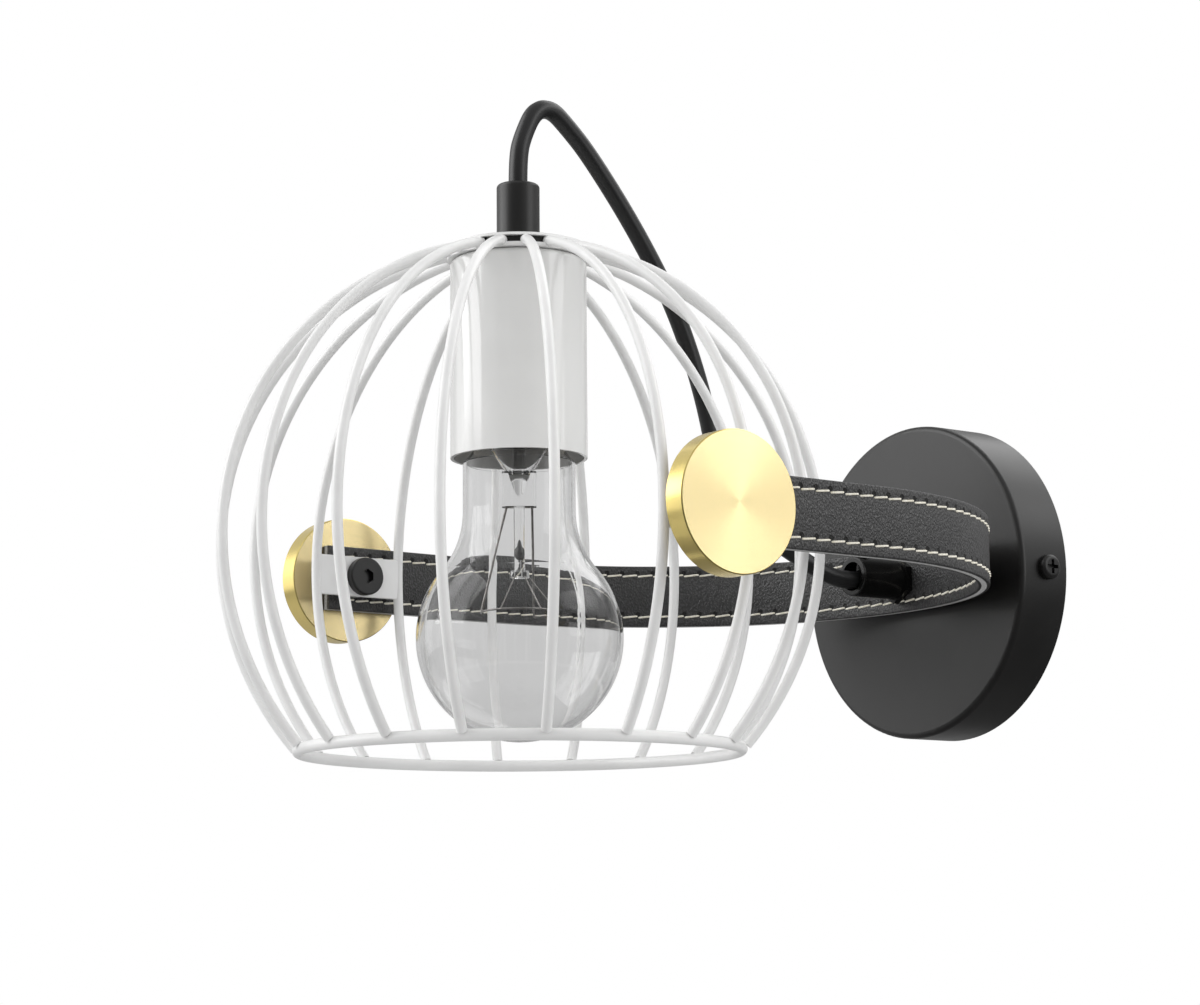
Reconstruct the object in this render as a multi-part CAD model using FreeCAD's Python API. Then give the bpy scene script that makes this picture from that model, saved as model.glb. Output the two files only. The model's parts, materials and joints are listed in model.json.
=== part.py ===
import FreeCAD, Part
import math
import os

# Wall light: a white wire globe shade with a bare bulb, tilting between the ends of a U-shaped leather band
# that stands out from a round black canopy. Millimetres and degrees.
# The origin is on the wall, at the centre of the canopy. +Z is up, the light stands out towards -Y, and the
# shade tilts about an axis along X.

V = FreeCAD.Vector

# General
OVERRUN = 1.0
THREAD_GAP = 0.05
SEAT_GAP = 0.3
EDGE_TOLERANCE = 0.01
HEX_SIDES = 6

# Canopy
CANOPY_D = 100.0
CANOPY_DEPTH = 19.0
CANOPY_WALL = 1.2
CANOPY_EDGE_R = 1.7

# Wall bracket
BRACKET_TO_WALL = 2.8
BRACKET_WIDTH = 16.0
BRACKET_T = 1.5
BRACKET_EAR = 13.0
BRACKET_CABLE_HOLE_D = 10.0
WALL_SCREW_INSET = 10.0
WALL_SLOT_WIDTH = 4.5
WALL_SLOT_LENGTH = 10.0

# Side screws of the canopy
SIDE_SCREW_Y = 8.3
SIDE_SCREW_D = 4.0
SIDE_SCREW_HOLE_D = 4.4
SIDE_SCREW_HEAD_D = 7.7
SIDE_SCREW_HEAD_H = 2.6
SIDE_SCREW_HEAD_EDGE_R = 1.4
SIDE_SCREW_LENGTH = 7.0
CROSS_WIDTH = 1.1
CROSS_LENGTH = 4.4
CROSS_DEPTH = 1.6

# Terminal block and earth screw
BLOCK_START_X = 8.0
BLOCK_LENGTH = 19.0
BLOCK_HEIGHT = 10.0
POLE_PITCH = 7.0
CLAMP_D = 4.0
CLAMP_BORE_D = 2.6
CLAMP_END_INSET = 1.0
CLAMP_SCREW_D = 2.4
CLAMP_SCREW_INSET = 4.5
EARTH_SCREW_X = 20.0
EARTH_SCREW_D = 4.0
EARTH_SCREW_HEAD_D = 8.0
EARTH_SCREW_HEAD_H = 2.4
WIRE_D = 1.8
WIRE_CIRCLE_R = 1.3
WIRE_ANGLES_DEG = (60.0, 180.0, 300.0)
WIRE_BEND = 3.0
WIRE_REACH = 1.0
EARTH_WIRE_CORNER_X = 10.5

# Pivot
PIVOT_REACH = 172.0
PIVOT_SCREW_D = 6.0
PIVOT_SCREW_HEAD_D = 11.8
PIVOT_SCREW_HEAD_H = 2.7
PIVOT_SCREW_HEAD_EDGE_R = 0.5
PIVOT_SCREW_IN_KNOB = 4.8
SOCKET_FLATS = 4.0
SOCKET_DEPTH = 1.6
PIVOT_WASHER_D = 12.0

# Band
BAND_SPAN = 188.0
BAND_WIDTH = 20.0
BAND_CORE_T = 1.6
BAND_LEATHER_T = 1.0
BAND_PAST_PIVOT = 9.0
BAND_SPACER_T = 2.0
BAND_SPACER_D = 15.0

# Threaded tubes through the canopy and through the top of the shade
NIPPLE_D = 9.8
NIPPLE_BORE_D = 6.6
NIPPLE_HOLE_D = 10.2
NUT_FLATS = 13.0
BAND_NUT_T = 2.3
LOCK_NUT_T = 2.6
NIPPLE_IN_GLAND = 6.0
NIPPLE_PAST_LOCK_NUT = 1.0

# Cord grip on the band
GLAND_D = 12.4
GLAND_LENGTH = 17.0
GLAND_BORE_D = 9.2
GLAND_EDGE_R = 0.4
GLAND_SCREW_FROM_MOUTH = 3.6
GLAND_SCREW_D = 3.0
GLAND_SCREW_TIP_Z = 2.0
GLAND_SCREW_HEAD_D = 5.4
GLAND_SCREW_HEAD_H = 0.9

# Knobs
KNOB_D = 39.0
KNOB_T = 7.0
KNOB_EDGE = 0.3
KNOB_BORE_DEPTH = 5.2

# Cage
CAGE_TO_BAND = 1.9
CAGE_CENTRE_Z = 1.5
CAGE_TURN_DEG = 1.0
RIB_COUNT = 18
RIB_D = 3.0
RIB_END_RISE = 1.1
RIB_END_OUTSET = 1.4
RING_D = 3.4
MOUTH_R_SHARE = 0.73
MOUTH_DROP_SHARE = 0.702
TAB_HEIGHT = 12.2
TAB_T = 2.0
TAB_BEFORE_BAND = 3.8

# Top stack of the shade
TOP_RING_D = 40.4
TOP_RING_T = 0.75
RIB_UNDER_RING = 1.0
SPACER_TO_RIBS = 0.5
COVER_RIM = 0.9
COVER_T = 1.2
COVER_WELD = 1.0
GRIP_D = 12.7
GRIP_LENGTH = 18.985
GRIP_EDGE_R = 1.1
GRIP_BORE_D = 6.2
GRIP_THREAD_DEPTH = 8.0

# Sleeve and lampholder
SLEEVE_TO_HOLDER = 2.0
SLEEVE_WALL = 1.0
SLEEVE_LENGTH = 58.73
SLEEVE_EDGE_R = 1.6
HOLDER_WALL = 2.85
HOLDER_SETBACK = 5.5
HOLDER_DEPTH = 26.3
HOLDER_FLOOR_T = 6.0
HOLDER_CHAMBER_D = 22.0
HOLDER_CHAMBER_H = 11.0
SHELL_TO_CAP = 0.5
SHELL_T = 0.5
SHELL_SETBACK = 3.0
SHELL_EYE_D = 16.0
SPRING_D = 8.0
SPRING_T = 1.2

# Bulb. Its heights are measured down, or up, from the bottom edge of the cap.
BULB_R = 30.0
BULB_DROP = 57.0
BULB_GLASS_T = 0.9
NECK_R = 16.4
NECK_START = 37.0
NECK_END_DROP = 6.0
GLASS_IN_CAP = 4.0
CAP_CREST_R = 13.1
CAP_THREAD_DEPTH = 0.9
CAP_WALL = 0.7
THREAD_PITCH = 3.6
CAP_THREADS = 5
CAP_SKIRT = 2.0
CAP_TOP_H = 2.6
CAP_TOP_R = 8.6
CAP_TOP_T = 0.6
INSULATOR_H = 2.2
INSULATOR_R = 5.0
CONTACT_R = 4.2
CONTACT_H = 1.0
STEM_IN_CAP = 1.0
STEM_WALL = 0.8
STEM_WAIST_R = 4.0
STEM_WAIST_DROP = 8.5
STEM_PRESS_DROP = 18.8
PRESS_WIDTH = 10.0
PRESS_T = 4.6
PRESS_EDGE_R = 1.5
PRESS_TURN_DEG = 53.0
ROD_R = 1.6
BUTTON_R = 2.8
BUTTON_T = 1.9
BUTTON_DROP = 39.4
EXHAUST_IN_CAP = 10.0
LEAD_R = 0.35
LEAD_SPREAD = 3.7
FILAMENT_R = 11.2
FILAMENT_DROP = 49.6
FILAMENT_WIRE_R = 0.3
FILAMENT_START_DEG = 123.0
FILAMENT_SWEEP_DEG = -250.0
SUPPORT_COUNT = 3
SUPPORT_R = 0.2

# Cord. It comes up out of the grip, goes over in one arch, runs down behind the cage, and enters the grip on
# the band level. The arch's points are counted from the top of the first grip, and the others from the mouth
# of the second.
CORD_D = 5.6
CORD_INSIDE_CANOPY_Y = 11.0
CORD_ARCH_POINTS = [
    (0.0, 0.0, 9.0),
    (-0.4, 2.2, 15.6),
    (-0.8, 6.6, 24.0),
    (-1.6, 13.2, 25.8),
    (-3.0, 20.3, 21.6),
    (-5.2, 30.1, 14.9),
    (-8.3, 49.2, -4.1),
    (-11.6, 66.9, -25.6),
]
CORD_DROP_POINTS = [
    (-14.2, -48.2, 57.4),
    (-14.4, -42.2, 33.6),
    (-10.0, -34.2, 15.8),
    (-3.4, -21.8, 6.4),
    (-0.3, -9.3, -0.9),
    (0.0, 1.2, -1.3),
    (0.0, 12.2, -0.1),
    (0.0, 23.2, 0.0),
]
CORD_ARC_SHARE = 0.45

# Places worked out from the sizes above
PIVOT_BORE_D = PIVOT_SCREW_D + 2 * THREAD_GAP
TUBE_BORE_D = NIPPLE_D + 2 * THREAD_GAP
CAP_ROOT_R = CAP_CREST_R - CAP_THREAD_DEPTH
CAP_BORE_R = CAP_ROOT_R - CAP_WALL
SHELL_D = 2 * (CAP_CREST_R + SHELL_TO_CAP + SHELL_T)
SHELL_SEAT_D = SHELL_D + 2 * THREAD_GAP
HOLDER_D = SHELL_SEAT_D + 2 * HOLDER_WALL
SLEEVE_D = HOLDER_D + 2 * (SLEEVE_TO_HOLDER + SLEEVE_WALL)
COVER_D = SLEEVE_D + 2 * COVER_RIM
BRACKET_SPAN = CANOPY_D - 2 * CANOPY_WALL - 2 * BRACKET_TO_WALL
WALL_SCREW_SPACING = BRACKET_SPAN - 2 * WALL_SCREW_INSET
BAND_T = BAND_CORE_T + 2 * BAND_LEATHER_T
BAND_FRONT_Y = -CANOPY_DEPTH - BAND_SPACER_T
BAND_INNER_Y = BAND_FRONT_Y - BAND_T
KNOB_FACE_X = BAND_SPAN / 2
BAND_INNER_X = BAND_SPAN / 2 - BAND_T
TAB_OUTER_X = BAND_INNER_X - TAB_BEFORE_BAND
TAB_INNER_X = TAB_OUTER_X - TAB_T
BAND_NUT_Y = BAND_INNER_Y - SEAT_GAP
GLAND_FOOT_Y = BAND_NUT_Y - BAND_NUT_T
GLAND_MOUTH_Y = GLAND_FOOT_Y - GLAND_LENGTH
CANOPY_INNER_Y = -CANOPY_DEPTH + CANOPY_WALL
LOCK_NUT_BACK_Y = CANOPY_INNER_Y + LOCK_NUT_T
RIB_R = RIB_D / 2
CAGE_R = BAND_INNER_X - CAGE_TO_BAND - RIB_R
CAGE_CENTRE = V(0, -PIVOT_REACH, CAGE_CENTRE_Z)
MOUTH_DROP = MOUTH_DROP_SHARE * CAGE_R
RING_Z = CAGE_CENTRE_Z - MOUTH_DROP
RING_R = MOUTH_R_SHARE * CAGE_R
RIB_END_DROP = MOUTH_DROP - RIB_END_RISE
RIB_END_INSET = CAGE_R - RING_R - RIB_END_OUTSET
LOWER_ARC_R = (RIB_END_DROP ** 2 + RIB_END_INSET ** 2) / (2 * RIB_END_INSET)
RIB_TOP_R = TOP_RING_D / 2 - RIB_UNDER_RING
TOP_SPACER_D = 2 * (RIB_TOP_R - SPACER_TO_RIBS)
TOP_RING_Z = CAGE_CENTRE_Z + math.sqrt((CAGE_R + RIB_R) ** 2 - (TOP_RING_D / 2) ** 2)
COVER_TOP_Z = CAGE_CENTRE_Z + math.sqrt((CAGE_R - RIB_R + COVER_WELD) ** 2 - (COVER_D / 2) ** 2)
SLEEVE_TOP_Z = COVER_TOP_Z - COVER_T
SLEEVE_CEILING_Z = SLEEVE_TOP_Z - SLEEVE_WALL
SLEEVE_BOTTOM_Z = SLEEVE_TOP_Z - SLEEVE_LENGTH
GRIP_BOTTOM_Z = TOP_RING_Z + TOP_RING_T
GRIP_TOP_Z = GRIP_BOTTOM_Z + GRIP_LENGTH
HOLDER_BOTTOM_Z = SLEEVE_BOTTOM_Z + HOLDER_SETBACK
HOLDER_FLOOR_Z = HOLDER_BOTTOM_Z + HOLDER_DEPTH
CHAMBER_FLOOR_Z = HOLDER_FLOOR_Z + HOLDER_FLOOR_T
CHAMBER_TOP_Z = CHAMBER_FLOOR_Z + HOLDER_CHAMBER_H
CONTACT_TOP_Z = HOLDER_FLOOR_Z - SPRING_T - SEAT_GAP
INSULATOR_TOP_Z = CONTACT_TOP_Z - CONTACT_H
CAP_TOP_Z = INSULATOR_TOP_Z - INSULATOR_H
CAP_BOTTOM_Z = CAP_TOP_Z - CAP_TOP_H - CAP_THREADS * THREAD_PITCH - CAP_SKIRT
BULB_CENTRE_Z = CAP_BOTTOM_Z - BULB_DROP
NECK_END_Z = CAP_BOTTOM_Z - NECK_END_DROP
GLASS_TOP_Z = CAP_BOTTOM_Z + GLASS_IN_CAP
STEM_FLARE_Z = CAP_BOTTOM_Z + STEM_IN_CAP
STEM_FLARE_R = CAP_BORE_R - BULB_GLASS_T
EXHAUST_TOP_Z = CAP_BOTTOM_Z + EXHAUST_IN_CAP
STEM_WAIST_Z = CAP_BOTTOM_Z - STEM_WAIST_DROP
STEM_PRESS_Z = CAP_BOTTOM_Z - STEM_PRESS_DROP
BUTTON_Z = CAP_BOTTOM_Z - BUTTON_DROP
FILAMENT_Z = CAP_BOTTOM_Z - FILAMENT_DROP


def on_axis(z, radius=0):
    """Point at height z on the shade's upright axis, or a radius to its +X side."""
    return V(radius, -PIVOT_REACH, z)


def rod(diameter, start, end):
    """Solid cylinder between two points."""
    run = end.sub(start)
    return Part.makeCylinder(diameter / 2, run.Length, start, run)


def pipe(outer_d, inner_d, start, end):
    """Cylinder with a bore right through it."""
    run = V(end.sub(start)).normalize() * OVERRUN
    return rod(outer_d, start, end).cut(rod(inner_d, start.sub(run), end.add(run)))


def block(low, high):
    """Box between its lowest and its highest corner."""
    size = high.sub(low)
    return Part.makeBox(size.x, size.y, size.z, low)


def hex_prism(flats, start, end, corner):
    """Hexagonal prism between two points, with one corner in the given direction."""
    run = end.sub(start)
    reach = V(corner).normalize() * (flats / math.sqrt(3))
    side = V(run).normalize().cross(reach)
    points = []
    for index in range(HEX_SIDES + 1):
        angle = 2 * math.pi * index / HEX_SIDES
        points.append(start.add(reach * math.cos(angle)).add(side * math.sin(angle)))
    return Part.Face(Part.makePolygon(points)).extrude(run)


def edges_at(shape, centre):
    """Circular edges of a shape that have the given centre."""
    found = []
    for edge in shape.Edges:
        if hasattr(edge.Curve, "Radius") and edge.Curve.Center.distanceToPoint(centre) < EDGE_TOLERANCE:
            found.append(edge)
    return found


def lathe(outline, centre=V(0, -PIVOT_REACH, 0)):
    """Solid of revolution about the shade's upright axis.

    The outline is a closed list of (radius, height) corners. A corner with a third value True is the middle
    of an arc between its two neighbours."""
    corners = [centre.add(V(item[0], 0, item[1])) for item in outline]
    middle = [len(item) > 2 for item in outline]
    edges = []
    at = 0
    count = len(outline)
    while at < count:
        after = (at + 1) % count
        if middle[after]:
            last = (at + 2) % count
            edges.append(Part.Arc(corners[at], corners[after], corners[last]).toShape())
            at += 2
        else:
            edges.append(Part.makeLine(corners[at], corners[after]))
            at += 1
    face = Part.Face(Part.Wire(edges))
    return face.revolve(centre, V(0, 0, 1), 360)


def rounded_path(points, share):
    """Straight runs joined by tangent arcs, as edges, with the arcs' radii and turns."""
    edges = []
    radii = []
    here = points[0]
    for before, corner, after in zip(points, points[1:], points[2:]):
        back = before.sub(corner)
        ahead = after.sub(corner)
        short = share * min(back.Length, ahead.Length)
        turn = math.pi - back.getAngle(ahead)
        radius = short / math.tan(turn / 2)
        back.normalize()
        ahead.normalize()
        enter = corner.add(back * short)
        leave = corner.add(ahead * short)
        inward = back.add(ahead).normalize()
        centre = corner.add(inward * (radius / math.cos(turn / 2)))
        mid = centre.sub(inward * radius)
        edges.append(Part.makeLine(here, enter))
        edges.append(Part.Arc(enter, mid, leave).toShape())
        radii.append((round(radius, 1), round(math.degrees(turn), 1)))
        here = leave
    edges.append(Part.makeLine(here, points[-1]))
    return edges, radii


def round_tube(points, diameter, share):
    """Solid round tube along rounded_path, with its length and its radii."""
    edges, radii = rounded_path(points, share)
    path = Part.Wire(edges)
    circle = Part.Circle(points[0], points[1].sub(points[0]), diameter / 2)
    tube = path.makePipeShell([Part.Wire(circle.toShape())], True, False)
    return tube, path.Length, radii


def mirror_x(shape):
    """The same piece on the -X side."""
    return shape.mirror(V(0, 0, 0), V(1, 0, 0))


def cross_recess(face_centre, outward):
    """Cutter for the cross in a screw head whose top face looks outward."""
    bars = []
    for length, width in ((CROSS_LENGTH, CROSS_WIDTH), (CROSS_WIDTH, CROSS_LENGTH)):
        corner = V(-length / 2, -width / 2, -CROSS_DEPTH)
        bars.append(Part.makeBox(length, width, CROSS_DEPTH + OVERRUN, corner))
    cutter = bars[0].fuse(bars[1])
    cutter.Placement = FreeCAD.Placement(face_centre, FreeCAD.Rotation(V(0, 0, 1), outward))
    return cutter


def pan_screw(seat, outward, shank_d, length, head_d, head_h, edge_r):
    """Cross-head screw: its head stands on seat towards outward, and its shank goes the other way."""
    along = V(outward).normalize()
    top = seat.add(along * head_h)
    head = rod(head_d, seat, top)
    head = head.makeFillet(edge_r, edges_at(head, top))
    shank = rod(shank_d, seat.sub(along * length), seat)
    return head.fuse(shank).cut(cross_recess(top, along)).removeSplitter()


def wall_bracket():
    half = BRACKET_SPAN / 2
    side = BRACKET_WIDTH / 2
    plate = block(V(-half, -BRACKET_T, -side), V(half, 0, side))
    ear = block(V(half - BRACKET_T, -BRACKET_EAR, -side), V(half, 0, side))
    body = plate.fuse(ear).fuse(mirror_x(ear))
    screw_hole = rod(SIDE_SCREW_D + 2 * THREAD_GAP, V(-half - OVERRUN, -SIDE_SCREW_Y, 0),
                     V(half + OVERRUN, -SIDE_SCREW_Y, 0))
    body = body.cut(screw_hole)
    deep = V(0, -BRACKET_T - OVERRUN, 0)
    shallow = V(0, OVERRUN, 0)
    straight = (WALL_SLOT_LENGTH - WALL_SLOT_WIDTH) / 2
    for side_x in (-WALL_SCREW_SPACING / 2, WALL_SCREW_SPACING / 2):
        for end_x in (side_x - straight, side_x + straight):
            body = body.cut(rod(WALL_SLOT_WIDTH, deep.add(V(end_x, 0, 0)), shallow.add(V(end_x, 0, 0))))
        body = body.cut(block(V(side_x - straight, deep.y, -WALL_SLOT_WIDTH / 2),
                              V(side_x + straight, shallow.y, WALL_SLOT_WIDTH / 2)))
    body = body.cut(rod(BRACKET_CABLE_HOLE_D, deep, shallow))
    earth = V(-EARTH_SCREW_X, 0, 0)
    body = body.cut(rod(EARTH_SCREW_D + 2 * THREAD_GAP, deep.add(earth), shallow.add(earth)))
    return body.removeSplitter()


def canopy():
    front = V(0, -CANOPY_DEPTH, 0)
    outer = rod(CANOPY_D, V(0, 0, 0), front)
    outer = outer.makeFillet(CANOPY_EDGE_R, edges_at(outer, front))
    inner_front = V(0, CANOPY_INNER_Y, 0)
    inner = rod(CANOPY_D - 2 * CANOPY_WALL, V(0, OVERRUN, 0), inner_front)
    inner = inner.makeFillet(CANOPY_EDGE_R - CANOPY_WALL, edges_at(inner, inner_front))
    body = outer.cut(inner)
    body = body.cut(rod(NIPPLE_HOLE_D, front.sub(V(0, OVERRUN, 0)), V(0, 0, 0)))
    reach = CANOPY_D / 2 + OVERRUN
    return body.cut(rod(SIDE_SCREW_HOLE_D, V(-reach, -SIDE_SCREW_Y, 0), V(reach, -SIDE_SCREW_Y, 0)))


def canopy_screws():
    screw = pan_screw(V(CANOPY_D / 2, -SIDE_SCREW_Y, 0), V(1, 0, 0), SIDE_SCREW_D, SIDE_SCREW_LENGTH,
                      SIDE_SCREW_HEAD_D, SIDE_SCREW_HEAD_H, SIDE_SCREW_HEAD_EDGE_R)
    return [screw, mirror_x(screw)]


def pole_places():
    """Heights of the block's two poles, and the depth of their axes."""
    return [POLE_PITCH / 2, -POLE_PITCH / 2], -BRACKET_T - BLOCK_HEIGHT / 2


def clamp_screw_cutters(z, y, diameter):
    """Two upright screws of one pole, from the block's face down into its clamp."""
    places = (BLOCK_START_X + CLAMP_SCREW_INSET, BLOCK_START_X + BLOCK_LENGTH - CLAMP_SCREW_INSET)
    face_y = -BRACKET_T - BLOCK_HEIGHT
    return [rod(diameter, V(x, face_y, z), V(x, y - CLAMP_BORE_D / 2, z)) for x in places]


def terminal_block():
    end_x = BLOCK_START_X + BLOCK_LENGTH
    body = block(V(BLOCK_START_X, -BRACKET_T - BLOCK_HEIGHT, -POLE_PITCH), V(end_x, -BRACKET_T, POLE_PITCH))
    heights, y = pole_places()
    for z in heights:
        body = body.cut(rod(CLAMP_D, V(BLOCK_START_X - OVERRUN, y, z), V(end_x + OVERRUN, y, z)))
        for cutter in clamp_screw_cutters(z, y, CLAMP_SCREW_D + 2 * THREAD_GAP):
            body = body.cut(cutter)
    return body


def terminal_clamps():
    pieces = []
    heights, y = pole_places()
    start = BLOCK_START_X + CLAMP_END_INSET
    end = BLOCK_START_X + BLOCK_LENGTH - CLAMP_END_INSET
    for z in heights:
        clamp = pipe(CLAMP_D - 2 * THREAD_GAP, CLAMP_BORE_D, V(start, y, z), V(end, y, z))
        for cutter in clamp_screw_cutters(z, y, CLAMP_SCREW_D + 2 * THREAD_GAP):
            clamp = clamp.cut(cutter)
        pieces.append(clamp)
        pieces.extend(clamp_screw_cutters(z, y, CLAMP_SCREW_D))
    return pieces


def earth_screw():
    """Screw on the bracket, with its head a wire's thickness off the plate."""
    depth = BRACKET_T + WIRE_D + 2 * THREAD_GAP
    return pan_screw(V(-EARTH_SCREW_X, -depth, 0), V(0, -1, 0), EARTH_SCREW_D, depth, EARTH_SCREW_HEAD_D,
                     EARTH_SCREW_HEAD_H, EARTH_SCREW_HEAD_H / 2)


def wire_start(angle_deg):
    """Centre of one core just past the cord's cut end inside the canopy."""
    angle = math.radians(angle_deg)
    y = THREAD_GAP - CORD_INSIDE_CANOPY_Y
    return V(WIRE_CIRCLE_R * math.cos(angle), y, WIRE_CIRCLE_R * math.sin(angle))


def block_wire(angle_deg, pole_z):
    """Core from the cord's end into one pole of the block."""
    y = pole_places()[1]
    start = wire_start(angle_deg)
    bend = V(start.x, y, start.z)
    entry = V(BLOCK_START_X - WIRE_BEND, y, pole_z)
    points = [start, bend, entry, V(BLOCK_START_X + CLAMP_END_INSET + WIRE_REACH, y, pole_z)]
    return round_tube(points, WIRE_D, CORD_ARC_SHARE)[0]


def live_wire():
    return block_wire(WIRE_ANGLES_DEG[0], POLE_PITCH / 2)


def earth_wire():
    """Core from the cord's end, down to the plate and under the head of the earth screw."""
    start = wire_start(WIRE_ANGLES_DEG[1])
    y = -BRACKET_T - THREAD_GAP - WIRE_D / 2
    stop_x = -EARTH_SCREW_X + EARTH_SCREW_D / 2 + THREAD_GAP
    points = [start, start.add(V(0, WIRE_BEND, 0)), V(-EARTH_WIRE_CORNER_X, y, 0), V(stop_x, y, 0)]
    return round_tube(points, WIRE_D, CORD_ARC_SHARE)[0]


def neutral_wire():
    return block_wire(WIRE_ANGLES_DEG[2], -POLE_PITCH / 2)


def band_layer(outer_offset, inner_offset):
    """One layer of the band, between two depths measured in from its outer face."""
    end_y = -PIVOT_REACH - BAND_PAST_PIVOT
    arc_y = BAND_FRONT_Y - BAND_SPAN / 2
    edges = []
    corners = []
    for offset in (outer_offset, inner_offset):
        radius = BAND_SPAN / 2 - offset
        right = V(radius, arc_y, 0)
        left = V(-radius, arc_y, 0)
        corners.append((V(radius, end_y, 0), V(-radius, end_y, 0)))
        edges.append(Part.makeLine(corners[-1][0], right))
        edges.append(Part.Arc(right, V(0, arc_y + radius, 0), left).toShape())
        edges.append(Part.makeLine(left, corners[-1][1]))
    edges.append(Part.makeLine(corners[0][0], corners[1][0]))
    edges.append(Part.makeLine(corners[0][1], corners[1][1]))
    face = Part.Face(Part.Wire(Part.__sortEdges__(edges)))
    face.translate(V(0, 0, -BAND_WIDTH / 2))
    body = face.extrude(V(0, 0, BAND_WIDTH))
    body = body.cut(rod(NIPPLE_HOLE_D, V(0, BAND_INNER_Y - OVERRUN, 0), V(0, 0, 0)))
    reach = BAND_SPAN / 2 + OVERRUN
    pivot = rod(PIVOT_BORE_D, V(-reach, -PIVOT_REACH, 0), V(reach, -PIVOT_REACH, 0))
    return body.cut(pivot)


def band_outer_leather():
    return band_layer(0, BAND_LEATHER_T)


def band_core():
    return band_layer(BAND_LEATHER_T, BAND_LEATHER_T + BAND_CORE_T)


def band_inner_leather():
    return band_layer(BAND_LEATHER_T + BAND_CORE_T, BAND_T)


def band_spacer():
    return pipe(BAND_SPACER_D, NIPPLE_HOLE_D, V(0, -CANOPY_DEPTH, 0), V(0, BAND_FRONT_Y, 0))


def band_nipple():
    return pipe(NIPPLE_D, NIPPLE_BORE_D, V(0, LOCK_NUT_BACK_Y + NIPPLE_PAST_LOCK_NUT, 0),
                V(0, GLAND_FOOT_Y - NIPPLE_IN_GLAND, 0))


def nut_on_band(start_y, end_y):
    """Hexagonal nut on the threaded tube, with corners up and down."""
    nut = hex_prism(NUT_FLATS, V(0, start_y, 0), V(0, end_y, 0), V(0, 0, 1))
    hole = rod(TUBE_BORE_D, V(0, start_y + OVERRUN, 0), V(0, end_y - OVERRUN, 0))
    return nut.cut(hole)


def band_nut():
    return nut_on_band(BAND_NUT_Y, GLAND_FOOT_Y)


def band_lock_nut():
    return nut_on_band(LOCK_NUT_BACK_Y, CANOPY_INNER_Y)


def band_gland():
    foot = V(0, GLAND_FOOT_Y, 0)
    mouth = V(0, GLAND_MOUTH_Y, 0)
    body = rod(GLAND_D, foot, mouth)
    body = body.makeFillet(GLAND_EDGE_R, edges_at(body, mouth))
    body = body.cut(rod(GLAND_BORE_D, foot, mouth.sub(V(0, OVERRUN, 0))))
    thread_end = V(0, GLAND_FOOT_Y - NIPPLE_IN_GLAND, 0)
    body = body.cut(rod(TUBE_BORE_D, foot.add(V(0, OVERRUN, 0)), thread_end))
    screw_y = GLAND_MOUTH_Y + GLAND_SCREW_FROM_MOUTH
    return body.cut(rod(GLAND_SCREW_D + 2 * THREAD_GAP, V(0, screw_y, 0), V(0, screw_y, GLAND_D)))


def band_gland_screw():
    screw_y = GLAND_MOUTH_Y + GLAND_SCREW_FROM_MOUTH
    shank = rod(GLAND_SCREW_D, V(0, screw_y, GLAND_SCREW_TIP_Z), V(0, screw_y, GLAND_D / 2))
    top_z = GLAND_D / 2 + GLAND_SCREW_HEAD_H
    head = rod(GLAND_SCREW_HEAD_D, V(0, screw_y, GLAND_D / 2), V(0, screw_y, top_z))
    slot_half = CROSS_WIDTH / 2
    low = V(-GLAND_SCREW_HEAD_D, screw_y - slot_half, top_z - GLAND_SCREW_HEAD_H / 2)
    high = V(GLAND_SCREW_HEAD_D, screw_y + slot_half, top_z + OVERRUN)
    return head.fuse(shank).cut(block(low, high))


def lamp_cord():
    grip_top = on_axis(GRIP_TOP_Z)
    mouth = V(0, GLAND_MOUTH_Y, 0)
    points = [grip_top]
    points.extend(grip_top.add(V(*step)) for step in CORD_ARCH_POINTS)
    points.extend(mouth.add(V(*step)) for step in CORD_DROP_POINTS)
    points.append(V(0, -CORD_INSIDE_CANOPY_Y, 0))
    tube, length, radii = round_tube(points, CORD_D, CORD_ARC_SHARE)
    section = math.pi * CORD_D ** 2 / 4
    print("cord length", round(length, 1), "volume over section times length",
          round(tube.Volume / (section * length), 5))
    print("cord radii and turns", radii)
    print("cord runs", [round(b.sub(a).Length, 1) for a, b in zip(points, points[1:])])
    return tube


def rib_arc(start, centre, turn):
    """Round wire bent about a centre, from its start downwards through an angle in radians."""
    disc = Part.Face(Part.Wire(Part.Circle(start, V(0, 1, 0).cross(start.sub(centre)), RIB_R).toShape()))
    return disc.revolve(centre, V(0, 1, 0), math.degrees(turn))


def rib(index):
    """One bent wire of the cage, trimmed where it is welded to the rings and the cover plate.

    It follows a sphere down to the widest level, and from there a wider arc that ends outside the ring."""
    first = math.asin(RIB_TOP_R / CAGE_R)
    start = CAGE_CENTRE.add(V(CAGE_R * math.sin(first), 0, CAGE_R * math.cos(first)))
    widest = CAGE_CENTRE.add(V(CAGE_R, 0, 0))
    upper = rib_arc(start, CAGE_CENTRE, math.pi / 2 - first)
    lower = rib_arc(widest, widest.sub(V(LOWER_ARC_R, 0, 0)), math.asin(RIB_END_DROP / LOWER_ARC_R))
    wire = upper.fuse(lower).removeSplitter()
    pitch = 360 / RIB_COUNT
    wire.rotate(CAGE_CENTRE, V(0, 0, 1), pitch * (index + 1 / 2) + CAGE_TURN_DEG)
    for welded in (bottom_ring(), top_ring(), cover_plate()):
        wire = wire.cut(welded)
    return wire


def bottom_ring():
    return Part.makeTorus(RING_R, RING_D / 2, on_axis(RING_Z), V(0, 0, 1))


def top_ring():
    return pipe(TOP_RING_D, NIPPLE_HOLE_D, on_axis(TOP_RING_Z), on_axis(GRIP_BOTTOM_Z))


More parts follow.
